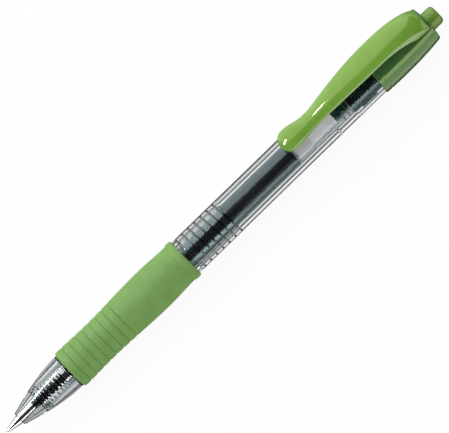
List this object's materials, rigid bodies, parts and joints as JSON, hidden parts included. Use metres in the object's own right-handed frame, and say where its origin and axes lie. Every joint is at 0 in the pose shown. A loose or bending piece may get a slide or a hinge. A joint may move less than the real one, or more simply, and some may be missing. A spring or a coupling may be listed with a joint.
{
  "type": "retractable gel pen",
  "caption": "Retractable gel pen with a clear barrel, a grooved rubber grip, a sprung pocket clip and a push button that slides its refill in and out.",
  "frame": {"origin": "tip of the writing ball, on the pen's axis, in the writing position", "axes": "+X along the pen from the tip to the push button, +Z out through the middle of the clip, +Y across the clip"},
  "size_m": [0.142, 0.011, 0.0155],
  "materials": {
    "clear_nose": "clear, polished",
    "grip_rubber": "matte, slightly dusty",
    "clear_barrel": "clear, polished",
    "collar_green": "satin",
    "clip_green": "glossy",
    "sleeve_green": "satin",
    "button_green": "glossy",
    "rotor_green": "satin",
    "spring_steel": "bright drawn wire",
    "tube_plastic": "translucent",
    "black_ink": "wet",
    "clear_grease": "clear, soft",
    "plug_green": "satin",
    "holder_plastic": "satin",
    "tip_metal": "turned, bright",
    "ball_metal": "polished"
  },
  "bodies": {
    "barrel": {"barrel": "clear_barrel", "clip_collar": "collar_green", "cam_sleeve": "sleeve_green", "return_spring": "spring_steel"},
    "button": {"push_button": "button_green"},
    "refill": {"refill_tube": "tube_plastic", "ink_column": "black_ink", "ink_follower": "clear_grease", "tail_plug": "plug_green", "tip_holder": "holder_plastic", "tip_socket": "tip_metal"},
    "rotor": {"rotor_cam": "rotor_green"},
    "ball": {"writing_ball": "ball_metal"},
    "grip": {"grip_sleeve": "grip_rubber"},
    "nose": {"nose_cone": "clear_nose"},
    "clip": {"pocket_clip": "clip_green"}
  },
  "joints": [
    {"name": "button_press", "type": "slide", "parent": "barrel", "child": "button", "axis": [1, 0, 0], "range_m": [-0.0015, 0.0055]},
    {"name": "refill_slide", "type": "slide", "parent": "barrel", "child": "refill", "axis": [1, 0, 0], "range_m": [-0.0015, 0.0055], "deforming": ["return_spring"]},
    {"name": "rotor_turn", "type": "hinge", "parent": "refill", "child": "rotor", "pos_m": [0.115, 0, 0], "axis": [1, 0, 0], "continuous": true},
    {"name": "ball_roll", "type": "hinge", "parent": "refill", "child": "ball", "pos_m": [0.00035, 0, 0], "axis": [0, 1, 0], "continuous": true},
    {"name": "front_draw", "type": "slide", "parent": "barrel", "child": "grip", "axis": [-1, 0, 0], "range_m": [0, 0.01]},
    {"name": "front_turn", "type": "hinge", "parent": "grip", "child": "nose", "pos_m": [0.06, 0, 0], "axis": [-1, 0, 0], "range_deg": [0, 1800]},
    {"name": "clip_lift", "type": "hinge", "parent": "barrel", "child": "clip", "pos_m": [0.1362, 0, 0.00403], "axis": [0, 1, 0], "range_deg": [0, 4], "stiffness_Nm_per_rad": 2}
  ],
  "couplings": [
    {"joint": "refill_slide", "follows": "button_press", "ratio": 1},
    {"joint": "front_turn", "follows": "front_draw", "rad_per_m": 3141.5}
  ]
}
